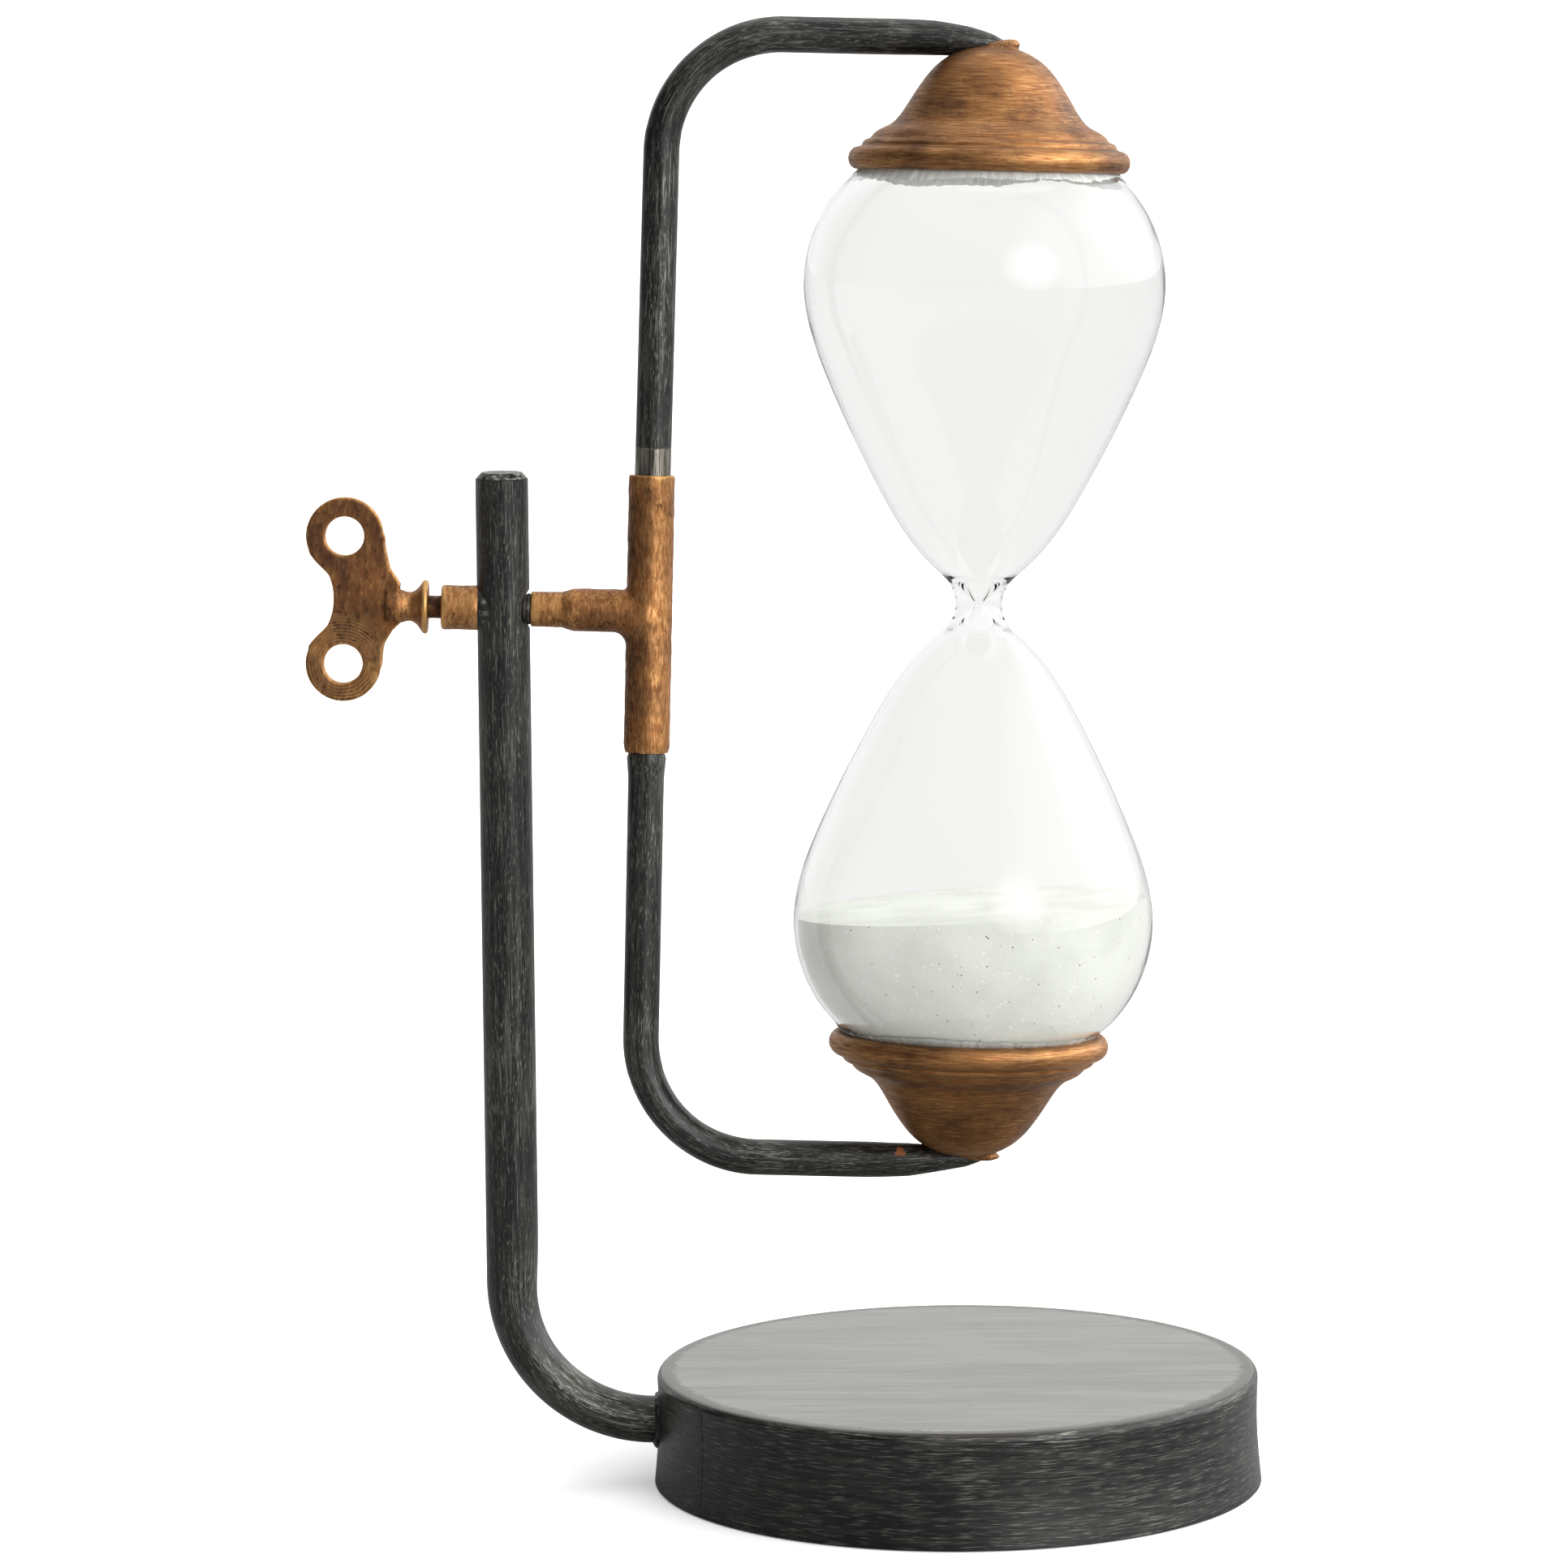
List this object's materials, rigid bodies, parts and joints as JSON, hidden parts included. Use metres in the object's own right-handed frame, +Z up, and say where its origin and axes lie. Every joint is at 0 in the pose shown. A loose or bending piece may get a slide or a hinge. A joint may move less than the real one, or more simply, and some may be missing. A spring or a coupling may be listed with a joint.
{
  "type": "hourglass",
  "caption": "Revolving hourglass: round drum foot, bent upright, cross pivot with a wing key, C-shaped rod frame with brass bells holding a blown glass with sand.",
  "frame": {"origin": "centre of the foot's underside, on the surface the object stands on", "axes": "+Z up, +X from the bent upright towards the glass, +Y away from the front"},
  "size_m": [0.218, 0.1402, 0.3367],
  "materials": {
    "black_iron": "satin charcoal black, dry brushed with silver",
    "ballast_iron": "rough cast",
    "bright_steel": "bare steel",
    "antique_brass": "brown patina with rubbed gold",
    "clear_glass": "clear blown glass",
    "clear_adhesive": "clear cured adhesive",
    "pale_sand": "fine pale sand",
    "cork": "cork",
    "felt": "black felt"
  },
  "bodies": {
    "stand": {"base_top_plate": "black_iron", "base_side_band": "black_iron", "base_weight": "ballast_iron", "base_bottom_plate": "black_iron", "bottom_plate_screws": "bright_steel", "base_felt": "felt", "post": "black_iron", "post_top_plug": "black_iron", "post_weld": "black_iron", "pivot_bush": "antique_brass"},
    "carrier": {"spindle": "bright_steel", "spindle_spacer": "black_iron", "friction_washer": "black_iron", "backing_washer": "black_iron", "spindle_sleeve": "antique_brass", "key_ferrule": "antique_brass", "key_bow": "antique_brass", "tee_fitting": "antique_brass", "upper_arm": "black_iron", "lower_arm": "black_iron", "upper_braze": "antique_brass", "lower_braze": "antique_brass", "upper_cap": "antique_brass", "lower_cap": "antique_brass", "upper_liner": "cork", "lower_liner": "cork", "upper_glue_ring": "clear_adhesive", "lower_glue_ring": "clear_adhesive", "glass_bulb": "clear_glass", "fill_plug": "cork", "sand": "pale_sand"}
  },
  "joints": [
    {"name": "carrier_turn", "type": "hinge", "parent": "stand", "child": "carrier", "pos_m": [-0.1024, 0, 0.2035], "axis": [0.9996, 0, -0.0297], "continuous": true}
  ]
}
